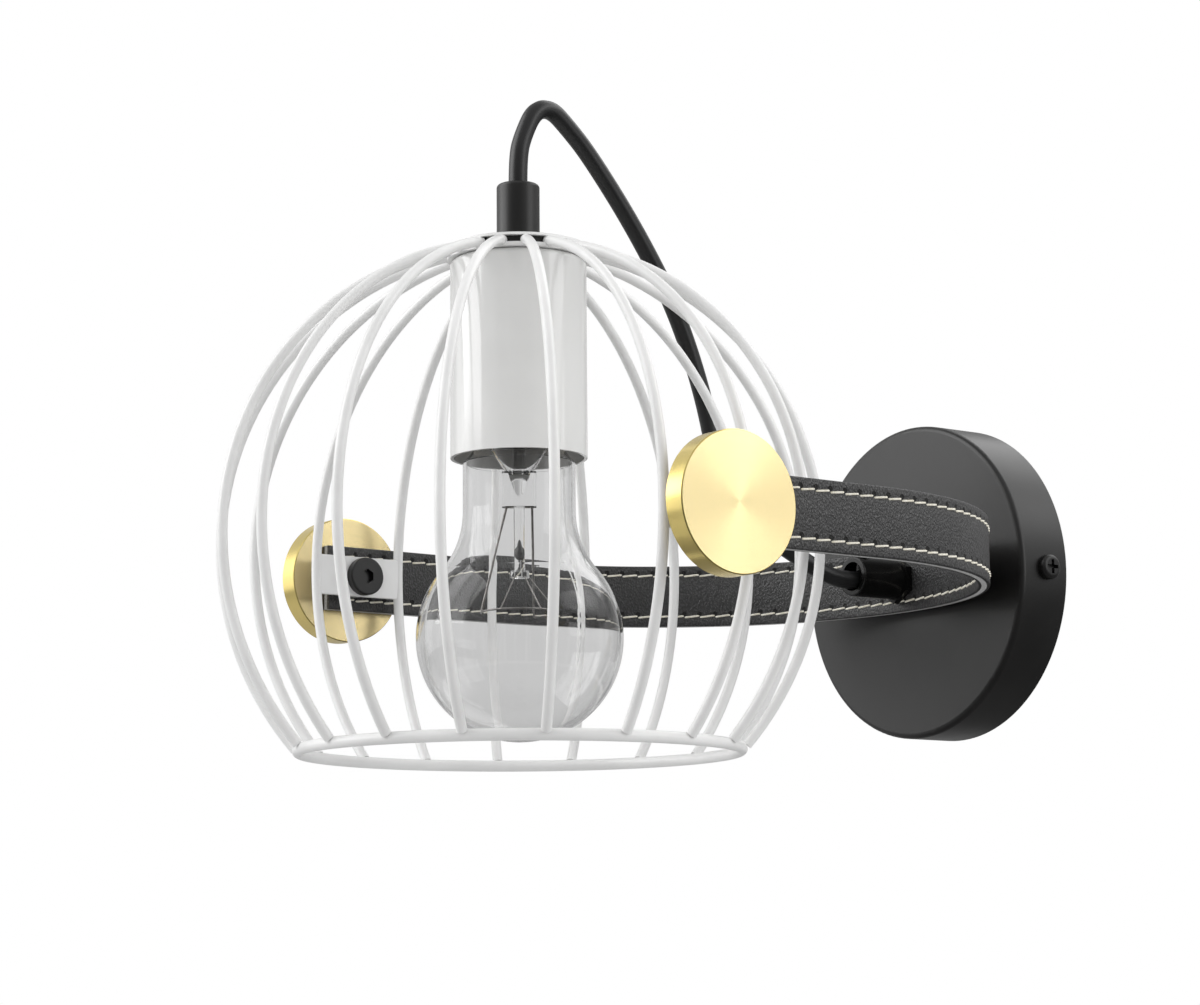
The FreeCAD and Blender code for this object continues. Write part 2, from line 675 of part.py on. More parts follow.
def pivot_tabs():
    """Flat bars between the two ribs at each end of the pivot axis, cut to fit against the ribs."""
    half_pitch = 360 / RIB_COUNT / 2
    near = CAGE_R * math.sin(math.radians(half_pitch - CAGE_TURN_DEG))
    far = CAGE_R * math.sin(math.radians(half_pitch + CAGE_TURN_DEG))
    across = RIB_COUNT // 2
    tabs = []
    sides = ((1, near, far, (0, RIB_COUNT - 1)), (-1, far, near, (across - 1, across)))
    for side, front, back, beside in sides:
        low_x = min(side * TAB_INNER_X, side * TAB_OUTER_X)
        tab = block(V(low_x, -PIVOT_REACH - front, -TAB_HEIGHT / 2),
                    V(low_x + TAB_T, -PIVOT_REACH + back, TAB_HEIGHT / 2))
        for index in beside:
            tab = tab.cut(rib(index))
        knob_face = V(side * KNOB_FACE_X, -PIVOT_REACH, 0)
        tab = tab.cut(rod(PIVOT_BORE_D, V(0, -PIVOT_REACH, 0), knob_face))
        tabs.append(max(tab.Solids, key=lambda solid: solid.Volume))
    return tabs


def pivot_screws():
    seat = V(TAB_INNER_X, -PIVOT_REACH, 0)
    top = seat.sub(V(PIVOT_SCREW_HEAD_H, 0, 0))
    head = rod(PIVOT_SCREW_HEAD_D, seat, top)
    head = head.makeFillet(PIVOT_SCREW_HEAD_EDGE_R, edges_at(head, top))
    shank = rod(PIVOT_SCREW_D, seat, V(KNOB_FACE_X + PIVOT_SCREW_IN_KNOB, -PIVOT_REACH, 0))
    socket = hex_prism(SOCKET_FLATS, top.sub(V(OVERRUN, 0, 0)), top.add(V(SOCKET_DEPTH, 0, 0)), V(0, 0, 1))
    screw = head.fuse(shank).cut(socket).removeSplitter()
    return [screw, mirror_x(screw)]


def pivot_washers():
    washer = pipe(PIVOT_WASHER_D, PIVOT_BORE_D, V(TAB_OUTER_X, -PIVOT_REACH, 0),
                  V(BAND_INNER_X, -PIVOT_REACH, 0))
    return [washer, mirror_x(washer)]


def knob_right():
    outer = V(KNOB_FACE_X + KNOB_T, -PIVOT_REACH, 0)
    inner = V(KNOB_FACE_X, -PIVOT_REACH, 0)
    body = rod(KNOB_D, inner, outer)
    body = body.makeChamfer(KNOB_EDGE, edges_at(body, outer) + edges_at(body, inner))
    bore = rod(PIVOT_BORE_D, inner.sub(V(OVERRUN, 0, 0)), inner.add(V(KNOB_BORE_DEPTH, 0, 0)))
    return body.cut(bore)


def knob_left():
    return mirror_x(knob_right())


def shade_gland():
    top = on_axis(GRIP_TOP_Z)
    body = rod(GRIP_D, on_axis(GRIP_BOTTOM_Z), top)
    body = body.makeFillet(GRIP_EDGE_R, edges_at(body, top))
    body = body.cut(rod(GRIP_BORE_D, on_axis(GRIP_BOTTOM_Z - OVERRUN), on_axis(GRIP_TOP_Z + OVERRUN)))
    thread_top = on_axis(GRIP_BOTTOM_Z + GRIP_THREAD_DEPTH)
    return body.cut(rod(TUBE_BORE_D, on_axis(GRIP_BOTTOM_Z - OVERRUN), thread_top))


def shade_nipple():
    return pipe(NIPPLE_D, NIPPLE_BORE_D, on_axis(CHAMBER_TOP_Z), on_axis(GRIP_BOTTOM_Z + GRIP_THREAD_DEPTH))


def top_spacer():
    return pipe(TOP_SPACER_D, NIPPLE_HOLE_D, on_axis(COVER_TOP_Z), on_axis(TOP_RING_Z))


def cover_plate():
    return pipe(COVER_D, NIPPLE_HOLE_D, on_axis(SLEEVE_TOP_Z), on_axis(COVER_TOP_Z))


def socket_sleeve():
    top = on_axis(SLEEVE_TOP_Z)
    body = rod(SLEEVE_D, on_axis(SLEEVE_BOTTOM_Z), top)
    body = body.makeFillet(SLEEVE_EDGE_R, edges_at(body, top))
    ceiling = on_axis(SLEEVE_CEILING_Z)
    inner = rod(SLEEVE_D - 2 * SLEEVE_WALL, on_axis(SLEEVE_BOTTOM_Z - OVERRUN), ceiling)
    inner = inner.makeFillet(SLEEVE_EDGE_R - SLEEVE_WALL, edges_at(inner, ceiling))
    hole = rod(NIPPLE_HOLE_D, on_axis(SLEEVE_CEILING_Z - OVERRUN), on_axis(SLEEVE_TOP_Z + OVERRUN))
    return body.cut(inner).cut(hole)


def socket_body():
    body = rod(HOLDER_D, on_axis(HOLDER_BOTTOM_Z), on_axis(SLEEVE_CEILING_Z))
    body = body.cut(rod(SHELL_SEAT_D, on_axis(HOLDER_BOTTOM_Z - OVERRUN), on_axis(HOLDER_FLOOR_Z)))
    body = body.cut(rod(HOLDER_CHAMBER_D, on_axis(CHAMBER_FLOOR_Z), on_axis(CHAMBER_TOP_Z)))
    thread = rod(TUBE_BORE_D, on_axis(CHAMBER_TOP_Z - OVERRUN), on_axis(SLEEVE_CEILING_Z + OVERRUN))
    return body.cut(thread)


def socket_shell():
    lid_z = HOLDER_FLOOR_Z - SHELL_T
    wall = pipe(SHELL_D, SHELL_D - 2 * SHELL_T, on_axis(HOLDER_BOTTOM_Z + SHELL_SETBACK), on_axis(lid_z))
    lid = pipe(SHELL_D, SHELL_EYE_D, on_axis(lid_z), on_axis(HOLDER_FLOOR_Z))
    return wall.fuse(lid).removeSplitter()


def socket_contact():
    return rod(SPRING_D, on_axis(HOLDER_FLOOR_Z - SPRING_T), on_axis(HOLDER_FLOOR_Z))


def inner_cord():
    return rod(CORD_D, on_axis(CHAMBER_FLOOR_Z), on_axis(GRIP_TOP_Z - THREAD_GAP))


def glass_side(shrink):
    """Half outline of the glass, from its lowest point up into the cap, taken in by shrink."""
    globe = BULB_R - shrink
    neck = NECK_R - shrink
    hollow = (NECK_R ** 2 + NECK_START ** 2 - BULB_R ** 2) / (2 * (BULB_R - NECK_R)) + shrink
    neck_z = BULB_CENTRE_Z + NECK_START
    lean = math.atan2(NECK_START, neck + hollow)
    low = -math.pi / 4 + lean / 2
    side = [(0, BULB_CENTRE_Z - globe)]
    side.append((globe * math.cos(low), BULB_CENTRE_Z + globe * math.sin(low), True))
    side.append((globe * math.cos(lean), BULB_CENTRE_Z + globe * math.sin(lean)))
    half = lean / 2
    side.append((neck + hollow - hollow * math.cos(half), neck_z - hollow * math.sin(half), True))
    side.append((neck, neck_z))
    side.append((neck, NECK_END_Z))
    side.append((CAP_BORE_R - shrink, CAP_BOTTOM_Z))
    side.append((CAP_BORE_R - shrink, GLASS_TOP_Z))
    return side


def bulb_glass():
    return lathe(glass_side(0) + glass_side(BULB_GLASS_T)[::-1])


def bulb_stem():
    """Flared glass stem sealed inside the neck, with the flat press, the rod and the button under it.

    Up inside the flare stands the sealed tube that the air was drawn out through."""
    outline = [
        (0, EXHAUST_TOP_Z),
        (ROD_R, EXHAUST_TOP_Z),
        (ROD_R, STEM_WAIST_Z),
        (STEM_WAIST_R - STEM_WALL, STEM_WAIST_Z),
        (STEM_FLARE_R - STEM_WALL, STEM_FLARE_Z),
        (STEM_FLARE_R, STEM_FLARE_Z),
        (STEM_WAIST_R, STEM_WAIST_Z),
        (ROD_R, STEM_PRESS_Z),
        (ROD_R, BUTTON_Z + BUTTON_T),
        (BUTTON_R, BUTTON_Z + BUTTON_T),
        (BUTTON_R, BUTTON_Z),
        (0, BUTTON_Z),
    ]
    half = V(PRESS_WIDTH / 2, PRESS_T / 2, 0)
    press = block(on_axis(STEM_PRESS_Z).sub(half), on_axis(STEM_WAIST_Z).add(half))
    upright = [edge for edge in press.Edges if abs(edge.tangentAt(edge.FirstParameter).z) > EDGE_TOLERANCE]
    press = press.makeFillet(PRESS_EDGE_R, upright)
    press.rotate(on_axis(STEM_PRESS_Z), V(0, 0, 1), PRESS_TURN_DEG)
    return lathe(outline).fuse(press).removeSplitter()


def filament_point(share, z=FILAMENT_Z, radius=FILAMENT_R):
    """Point on the filament's circle, a share of the way along it."""
    angle = math.radians(FILAMENT_START_DEG + share * FILAMENT_SWEEP_DEG)
    return V(radius * math.cos(angle), -PIVOT_REACH + radius * math.sin(angle), z)


def bulb_lead_wires():
    turn = math.radians(PRESS_TURN_DEG)
    spread = V(math.cos(turn), math.sin(turn), 0) * LEAD_SPREAD
    leads = []
    for share, foot in ((0, on_axis(STEM_PRESS_Z).add(spread)), (1, on_axis(STEM_PRESS_Z).sub(spread))):
        leads.append(rod(2 * LEAD_R, foot, filament_point(share)))
    return leads


def bulb_filament():
    start = filament_point(0)
    ahead = V(0, 0, 1).cross(start.sub(on_axis(FILAMENT_Z)))
    disc = Part.Face(Part.Wire(Part.Circle(start, ahead, FILAMENT_WIRE_R).toShape()))
    coil = disc.revolve(on_axis(FILAMENT_Z), V(0, 0, 1), FILAMENT_SWEEP_DEG)
    for lead in bulb_lead_wires():
        coil = coil.cut(lead)
    pieces = [coil]
    for index in range(SUPPORT_COUNT):
        share = (index + 1) / (SUPPORT_COUNT + 1)
        support = rod(2 * SUPPORT_R, filament_point(share, BUTTON_Z, BUTTON_R), filament_point(share))
        pieces.append(support.cut(coil).cut(bulb_stem()))
    return pieces


def bulb_cap():
    """Screw cap with rounded thread rings."""
    at = CAP_BOTTOM_Z + CAP_SKIRT
    outline = [(CAP_BORE_R, CAP_BOTTOM_Z), (CAP_ROOT_R, CAP_BOTTOM_Z), (CAP_ROOT_R, at)]
    for _ in range(CAP_THREADS):
        outline.append((CAP_CREST_R, at + THREAD_PITCH / 2, True))
        at += THREAD_PITCH
        outline.append((CAP_ROOT_R, at))
    outline.append((CAP_TOP_R, at + CAP_TOP_H))
    outline.append((CAP_TOP_R - CAP_TOP_T, at + CAP_TOP_H))
    outline.append((CAP_BORE_R, at))
    return lathe(outline)


def bulb_insulator():
    outline = [(0, CAP_TOP_Z), (CAP_TOP_R, CAP_TOP_Z), (INSULATOR_R, INSULATOR_TOP_Z), (0, INSULATOR_TOP_Z)]
    return lathe(outline)


def bulb_contact():
    disc = rod(2 * CONTACT_R, on_axis(INSULATOR_TOP_Z), on_axis(CONTACT_TOP_Z))
    return disc.makeFillet(CONTACT_H / 2, edges_at(disc, on_axis(CONTACT_TOP_Z)))


PIECES = [
    wall_bracket, canopy, canopy_screws, terminal_block, terminal_clamps, earth_screw,
    live_wire, earth_wire, neutral_wire,
    band_core, band_outer_leather, band_inner_leather, band_spacer, band_nipple, band_nut, band_lock_nut,
    band_gland, band_gland_screw, lamp_cord,
    bottom_ring, top_ring, pivot_tabs, pivot_screws, pivot_washers,
    shade_gland, shade_nipple, top_spacer, cover_plate, socket_sleeve,
    socket_body, socket_shell, socket_contact, inner_cord,
    knob_right, knob_left,
    bulb_glass, bulb_stem, bulb_lead_wires, bulb_filament, bulb_cap, bulb_insulator, bulb_contact,
]


def save(name, made):
    """Write one node, a single solid or a group of separate solids, to its STEP file."""
    shape = Part.makeCompound(made) if isinstance(made, list) else made
    if not isinstance(made, list) and len(shape.Solids) == 1:
        shape = shape.Solids[0]
    shape.exportStep(os.path.join("parts", name + ".step"))
    print(name, "solids", len(shape.Solids), "valid", shape.isValid(), "volume", round(shape.Volume, 1))


os.makedirs("parts", exist_ok=True)
for make in PIECES:
    save(make.__name__, make())
for number in range(RIB_COUNT):
    save("cage_rib_" + str(number + 1).zfill(2), rib(number))
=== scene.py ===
# %% [markdown]
# # A wall light with a wire globe shade
# This lesson dresses a finished CAD model. The light hangs on a wall by a round black canopy. A U-shaped
# strap of stitched leather stands out from it, and a globe of white wire with a bare bulb tilts between the
# strap's ends. The CAD pieces keep their places and sizes, so the first step is to load them.

# %% Load the frame
import json
import math

import bpy
from mathutils import Matrix, Vector


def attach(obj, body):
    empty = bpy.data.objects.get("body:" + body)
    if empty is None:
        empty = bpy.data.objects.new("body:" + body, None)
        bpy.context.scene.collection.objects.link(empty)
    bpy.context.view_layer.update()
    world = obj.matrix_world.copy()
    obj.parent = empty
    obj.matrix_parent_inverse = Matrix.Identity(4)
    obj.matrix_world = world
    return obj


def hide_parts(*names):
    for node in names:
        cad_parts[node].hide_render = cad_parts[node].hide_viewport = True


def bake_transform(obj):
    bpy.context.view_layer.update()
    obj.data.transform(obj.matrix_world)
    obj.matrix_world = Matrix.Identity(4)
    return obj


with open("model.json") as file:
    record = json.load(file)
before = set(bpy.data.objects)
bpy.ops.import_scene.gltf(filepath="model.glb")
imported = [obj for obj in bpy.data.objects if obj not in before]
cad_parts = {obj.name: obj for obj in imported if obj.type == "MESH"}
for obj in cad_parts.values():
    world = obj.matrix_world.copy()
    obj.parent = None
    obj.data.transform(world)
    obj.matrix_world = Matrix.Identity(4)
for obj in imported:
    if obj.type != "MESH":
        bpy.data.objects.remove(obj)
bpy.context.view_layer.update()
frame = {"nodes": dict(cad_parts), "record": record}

MM = 0.001

# %% [markdown]
# ## The camera
# A camera in Blender looks along its own -Z, with +Y up. The place below was worked out from round shapes in
# the picture whose real size is known. The camera stands a little under the light and looks up at it, and
# the picture leans by half a degree. A rotation matrix made of the three directions sets it without angles
# in between.

# %% Place the camera
AZIMUTH = math.radians(53.34)
ELEVATION = math.radians(-8.74)
LEAN = math.radians(0.46)
CAMERA_PLACE = Vector((719.1, -678.0, -122.7)) * MM
LENS_MM = 91.86
SENSOR_MM = 36.0

back = Vector((math.sin(AZIMUTH) * math.cos(ELEVATION), -math.cos(AZIMUTH) * math.cos(ELEVATION),
               math.sin(ELEVATION)))
right = Vector((math.cos(AZIMUTH), math.sin(AZIMUTH), 0))
up = back.cross(right)
leaning_right = right * math.cos(LEAN) - up * math.sin(LEAN)
leaning_up = right * math.sin(LEAN) + up * math.cos(LEAN)
camera_data = bpy.data.cameras.new("photo_camera")
camera_data.lens = LENS_MM
camera_data.sensor_fit = "HORIZONTAL"
camera_data.sensor_width = SENSOR_MM
camera = bpy.data.objects.new("photo_camera", camera_data)
bpy.context.scene.collection.objects.link(camera)
turn = Matrix((leaning_right, leaning_up, back)).transposed().to_4x4()
camera.matrix_world = Matrix.Translation(CAMERA_PLACE) @ turn
bpy.context.scene.camera = camera
print("camera stands", round(CAMERA_PLACE.length, 3), "m from the middle of the canopy")

# %% [markdown]
# ## Helpers for working by hand in code
# The modelling operators act on whatever is selected. These helpers leave exactly one object selected, or
# exactly the faces, edges or points that pass a test, so that each step below says what it touches. A face
# counts as looking along an axis when that part of its normal is above FACING.

# %% Selecting helpers
FACING = 0.9


def select_only(obj):
    """Leave one object selected and active, in object mode."""
    if bpy.context.mode != "OBJECT":
        bpy.ops.object.mode_set(mode="OBJECT")
    bpy.ops.object.select_all(action="DESELECT")
    obj.select_set(True)
    bpy.context.view_layer.objects.active = obj


def edit(obj, kind, test):
    """Enter edit mode with only the matching parts selected. kind is vertices, edges or polygons."""
    select_only(obj)
    mesh = obj.data
    for part in (mesh.vertices, mesh.edges, mesh.polygons):
        part.foreach_set("select", [False] * len(part))
    kinds = ("vertices", "edges", "polygons")
    bpy.context.tool_settings.mesh_select_mode = [kind == each for each in kinds]
    for item in getattr(mesh, kind):
        item.select = test(item)
    bpy.ops.object.mode_set(mode="EDIT")


def leave_edit():
    """Go back to object mode."""
    bpy.ops.object.mode_set(mode="OBJECT")


def named(name):
    """Name the object that was just added and put its place and size into its mesh."""
    obj = bpy.context.active_object
    obj.name = name
    obj.data.name = name
    bpy.ops.object.transform_apply(location=True, rotation=True, scale=True)
    return obj


def smooth(obj, degrees=35):
    """Smooth shading everywhere but over sharp edges."""
    select_only(obj)
    bpy.ops.object.shade_smooth_by_angle(angle=math.radians(degrees))


def joined(objs, name):
    """Join several objects into one."""
    select_only(objs[0])
    for obj in objs:
        obj.select_set(True)
    bpy.ops.object.join()
    return named(name)


# %% [markdown]
# ## The lamp cord
# A black round cord leaves the grip on top of the shade, makes one tight arch and runs down behind the cage
# into the grip on the strap. Its route is a short list of given points, the same as in the CAD model. A NURBS
# curve through the middle of them bends evenly, as a springy cord does. Because the shade tilts, the cord
# has to bend between two bodies, and only a mesh can do that, so the curve becomes a tube.
# The curve's own points, read before it gets its thickness, say what line the tube follows.

# %% Cord
PIVOT_REACH = 172.0 * MM
CORD_D = 5.6 * MM
CORD_ROUND_STEPS = 5
CORD_LENGTH_STEPS = 24
CORD_POINTS_MM = [
    (0.0, -172.0, 107.4),
    (0.0, -172.0, 116.4),
    (-0.4, -169.8, 123.0),
    (-0.8, -165.4, 131.4),
    (-1.6, -158.8, 133.2),
    (-3.0, -151.7, 129.0),
    (-5.2, -141.9, 122.3),
    (-8.3, -122.8, 103.3),
    (-11.6, -105.1, 81.8),
    (-14.2, -92.4, 57.4),
    (-14.4, -86.4, 33.6),
    (-10.0, -78.4, 15.8),
    (-3.4, -66.0, 6.4),
    (-0.3, -53.5, -0.9),
    (0.0, -43.0, -1.3),
    (0.0, -32.0, -0.1),
    (0.0, -21.0, 0.0),
    (0.0, -11.0, 0.0),
]


def cord_curve(name, points_mm):
    """Smooth open curve steered by the given points."""
    data = bpy.data.curves.new(name, "CURVE")
    data.dimensions = "3D"
    data.resolution_u = CORD_LENGTH_STEPS
    spline = data.splines.new("NURBS")
    spline.points.add(len(points_mm) - 1)
    for point, place in zip(spline.points, points_mm):
        point.co = (*(Vector(place) * MM), 1)
    spline.order_u = 3
    spline.use_endpoint_u = True
    obj = bpy.data.objects.new(name, data)
    bpy.context.scene.collection.objects.link(obj)
    return obj


def line_of(curve_obj):
    """Points along a curve that has no thickness yet, and their total length."""
    line = bpy.data.meshes.new_from_object(curve_obj)
    points = [vertex.co.copy() for vertex in line.vertices]
    bpy.data.meshes.remove(line)
    return points, sum((b - a).length for a, b in zip(points, points[1:]))


lamp_flex = cord_curve("lamp_flex", CORD_POINTS_MM)
cord_line, cord_length = line_of(lamp_flex)
lamp_flex.data.bevel_depth = CORD_D / 2
lamp_flex.data.bevel_resolution = CORD_ROUND_STEPS
lamp_flex.data.use_fill_caps = True
select_only(lamp_flex)
bpy.ops.object.convert(target="MESH")
lamp_flex = named("lamp_flex")
smooth(lamp_flex)
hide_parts("lamp_cord")
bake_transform(lamp_flex)
print("cord length", round(cord_length, 4), "m with", len(lamp_flex.data.polygons), "faces")

# %% [markdown]
# ## A small language for materials
# Material graphs get long when every sum is a node that is wired by hand. The class Value below wraps one
# socket, and its operators add Math nodes, so that a mask can be written as (1 - a) * b. The class Graph
# holds one node tree, and its node method adds any other node from its type, settings and sockets.

# %% One socket as a value
class Value:
    """One output socket of a node tree, with sums written as ordinary maths."""

    def __init__(self, graph, socket):
        self.graph = graph
        self.socket = socket

    def maths(self, operation, *others):
        """A Math node whose first input is this value."""
        return self.graph.node("Math", {"operation": operation}, dict(enumerate((self, *others))))

    def __add__(self, other):
        return self.maths("ADD", other)

    def __sub__(self, other):
        return self.maths("SUBTRACT", other)

    def __rsub__(self, other):
        return self.graph.node("Math", {"operation": "SUBTRACT"}, {0: other, 1: self})

    def __mul__(self, other):
        return self.maths("MULTIPLY", other)

    def __truediv__(self, other):
        return self.maths("DIVIDE", other)

    def between(self, low, high):
        """0 up to low, 1 from high on, and a smooth slope from one to the other."""
        settings = {"interpolation_type": "SMOOTHSTEP"}
        return self.graph.node("MapRange", settings, {"Value": self, "From Min": low, "From Max": high})

    def part(self, axis):
        """X, Y or Z of a vector."""
        return self.graph.node("SeparateXYZ", None, {"Vector": self}, out=axis)


# %% One node tree
class Graph:
    """The node tree of a material or of the world."""

    def __init__(self, owner):
        owner.use_nodes = True
        self.tree = owner.node_tree

    def feed(self, socket, value):
        """Link a value to an input, or set the input to a number, a colour or a vector."""
        if isinstance(value, Value):
            self.tree.links.new(value.socket, socket)
        elif socket.type == "RGBA":
            socket.default_value = (*value, 1)
        else:
            socket.default_value = value

    def node(self, kind, settings=None, sockets=None, out=0):
        """Add a node by its type, with its settings made first and then its inputs."""
        made = self.tree.nodes.new("ShaderNode" + kind)
        for name, value in (settings or {}).items():
            setattr(made, name, value)
        for name, value in (sockets or {}).items():
            self.feed(made.inputs[name], value)
        return Value(self, made.outputs[out])

    def vector(self, operation, first, second=(0, 0, 0), out=0):
        """A Vector Math node."""
        return self.node("VectorMath", {"operation": operation}, {0: first, 1: second}, out)

    def scaled(self, vector, factor):
        """A vector made longer or shorter."""
        return self.node("VectorMath", {"operation": "SCALE"}, {0: vector, "Scale": factor})

    def mix(self, factor, first, second):
        """Colour between two colours."""
        return self.node("Mix", {"data_type": "RGBA"}, {0: factor, 6: first, 7: second}, out=2)

    def place(self):
        """Position on the object, in metres."""
        return self.node("TexCoord", out="Object")

    def noise(self, scale, detail=2.0, where=None, out=0):
        """Soft random values around a half, with the given number of cells to the metre."""
        sockets = {"Vector": where or self.place(), "Scale": scale, "Detail": detail}
        return self.node("TexNoise", None, sockets, out)


# %% [markdown]
# A Finish is a material. Almost every finish below is made of the same three things: two colours in soft
# patches, a roughness that wanders with them, and a fine relief, so each of these has a method of its own.

# %% One material
class Finish(Graph):
    """A material with a Principled shader."""

    def __init__(self, name, **surface):
        self.material = bpy.data.materials.new(name)
        super().__init__(self.material)
        self.shader = self.tree.nodes["Principled BSDF"]
        self.output = self.tree.nodes["Material Output"].inputs["Surface"]
        for socket, value in surface.items():
            self.set(socket.replace("_", " "), value)

    def set(self, socket, value):
        """Set or link one input of the Principled shader."""
        self.feed(self.shader.inputs[socket], value)

    def patches(self, first, second, scale, detail=3, low=0.3, high=0.7):
        """Two colours in soft patches. Returns the noise that they follow."""
        cloud = self.noise(scale, detail)
        self.set("Base Color", self.mix(cloud.between(low, high), first, second))
        return cloud

    def roughen(self, cloud, least, more):
        """Roughness that rises from its least value with a noise."""
        self.set("Roughness", cloud.between(0.2, 0.8) * more + least)

    def bump(self, height, depth):
        """Relief of the given real depth on the whole material."""
        self.set("Normal", self.node("Bump", None, {"Height": height, "Distance": depth}))

    def grit(self, scale, depth):
        """Fine random relief."""
        self.bump(self.noise(scale), depth)

    def surface(self):
        """The Principled shader, to be mixed with another one."""
        return Value(self, self.shader.outputs[0])

    def show(self, factor, other):
        """Show the Principled shader where the factor is 0 and another shader where it is 1."""
        mixed = self.node("MixShader", None, {0: factor, 1: self.surface(), 2: other})
        self.feed(self.output, mixed)


FINISHES = {}


def finish(slot, **surface):
    """New finish that stands for a slot of the record."""
    made = Finish(slot, **surface)
    FINISHES[slot] = made.material
    return made


def dress(obj, material):
    """Give a piece one material on every face."""
    if not obj.material_slots:
        obj.data.materials.append(material)
    for item in obj.material_slots:
        item.material = material


def grey(value):
    """A colour with three equal parts."""
    return (value, value, value)


# %% [markdown]
# ## Background and lamps
# A product picture has an even white background. Here that white is what the camera sees of the world.
# Glossy surfaces and clear glass see a studio instead, because metal and glass look right only when there is
# something uneven to reflect. It is a grey room, darker below, with a pale backdrop behind the light, two
# bright panels on the left and a small one high up on the right. Two panels have a gain below zero: they are
# black cards, which keep some reflections dark. Dull surfaces get a softer light that comes from the left
# and the right more than from the front, and fades downwards.

# %% World
AMBIENT_HIGH = 0.34
AMBIENT_LOW = 0.22
STUDIO_HIGH = 0.54
STUDIO_LOW = 0.12
LOW_UP_TO = -0.6
HIGH_FROM = 0.5
PANEL_EDGE = 0.1
# Each row says the bearing in degrees from +X, the level of the middle, half the width, half the height
# and the gain. Level, width and height are measured on a ball of radius one round the light.
PANELS = [
    (143, 0.10, 0.60, 0.35, 0.20),  # backdrop behind the light
    (216, 0.10, 0.34, 0.34, 0.85),  # left
    (251, 0.10, 0.18, 0.40, 0.60),  # left and in front
    (58, 0.55, 0.22, 0.16, 2.00),  # high up on the right
    (128, 0.42, 0.30, 0.16, -0.38),  # card above the backdrop
    (315, 0.20, 0.50, 0.35, -0.20),  # card at the camera
]
GLOWS = [
    (-105, 0.35, 0.70, 0.50, 0.60),  # left
    (35, 0.20, 0.60, 0.60, 1.20),  # right
]

world = bpy.data.worlds.new("studio")
bpy.context.scene.world = world
air = Graph(world)
air.tree.nodes.clear()
toward = air.node("TexCoord", out="Generated")


def panel(bearing, level, half_width, half_height):
    """1 in the directions that an upright panel fills, with a soft edge."""
    angle = math.radians(bearing)
    across = air.vector("DOT_PRODUCT", toward, (-math.sin(angle), math.cos(angle), 0), out="Value")
    ahead = air.vector("DOT_PRODUCT", toward, (math.cos(angle), math.sin(angle), 0), out="Value")
    off_level = (toward.part("Z") - level).maths("ABSOLUTE")
    beside = across.maths("ABSOLUTE").between(half_width - PANEL_EDGE, half_width + PANEL_EDGE)
    beyond = off_level.between(half_height - PANEL_EDGE, half_height + PANEL_EDGE)
    return ahead.between(0, PANEL_EDGE) * (1 - beside) * (1 - beyond)


def room(low, high, rows):
    """Light level in every direction: a slope from low to high, and the panels on it."""
    level = toward.part("Z").between(LOW_UP_TO, HIGH_FROM) * (high - low) + low
    for *shape, gain in rows:
        level = panel(*shape) * gain + level
    return level


studio = room(STUDIO_LOW, STUDIO_HIGH, PANELS)
ambient = room(AMBIENT_LOW, AMBIENT_HIGH, GLOWS)
camera_ray = air.node("LightPath", out="Is Camera Ray")
glass_ray = air.node("LightPath", out="Is Transmission Ray")
glossy_ray = air.node("LightPath", out="Is Glossy Ray")
unseen = glossy_ray.maths("MAXIMUM", glass_ray) * (studio - ambient) + ambient
strength = (1 - camera_ray) * unseen + camera_ray
sky = air.node("Background", None, {"Color": grey(1), "Strength": strength})
world_output = air.tree.nodes.new("ShaderNodeOutputWorld")
air.feed(world_output.inputs["Surface"], sky)
bpy.context.scene.view_settings.view_transform = "Standard"
print("studio with", len(PANELS), "panels and", len(GLOWS), "glows")

# %% [markdown]
# Three soft lamps look at the light fixture. The key lamp hangs high up on the left and in front, and the
# rim lamp behind the wall's plane. The strip stands close by on the right, mostly for its reflections.

# %% Lamps
TARGET = Vector((0, -130, 10)) * MM
# Each row says the place, the width and the height in metres, and the power in watts.
LAMPS = {
    "key_lamp": ((-0.8, -1.4, 1.0), 1.5, 1.5, 19),
    "rim_lamp": ((-0.3, 1.2, 1.4), 1.3, 1.3, 8),
    "right_strip": ((0.47, 0.12, 0.18), 0.28, 0.46, 0.6),
}


def soft_lamp(name, place, width, height, power):
    """Soft lamp that looks at the light fixture."""
    data = bpy.data.lights.new(name, "AREA")
    data.shape = "RECTANGLE"
    data.size = width
    data.size_y = height
    data.energy = power
    lamp = bpy.data.objects.new(name, data)
    bpy.context.scene.collection.objects.link(lamp)
    away = (Vector(place) - TARGET).normalized()
    lamp.matrix_world = Matrix.Translation(place) @ away.to_track_quat("Z", "Y").to_matrix().to_4x4()


for lamp_name, row in LAMPS.items():
    soft_lamp(lamp_name, *row)
print("lamps of", [row[-1] for row in LAMPS.values()], "W")

# %% [markdown]
# ## Painted metal
# The wires and tabs are white lacquer, and the lamp sleeve is a smoother white enamel under a clear coat.
# The canopy and the upper cord grip are fine black powder coat. The grip and nut on the strap are a darker
# and shinier black. All have a relief far smaller than a tenth of a millimetre, which only shows as how the
# highlight breaks up.

# %% White lacquer
white = finish("white_metal", Roughness=0.3)
white.patches((0.84, 0.84, 0.835), (0.8, 0.8, 0.795), scale=60, low=0.35, high=0.65)
white.grit(scale=900, depth=0.015 * MM)

# %% White enamel of the lamp sleeve
enamel = Finish("sleeve_enamel", Roughness=0.12, Coat_Weight=0.6, Coat_Roughness=0.08)
enamel.patches((0.8, 0.8, 0.79), (0.77, 0.77, 0.76), scale=40, low=0.35, high=0.65)
enamel.grit(scale=90, depth=0.02 * MM)

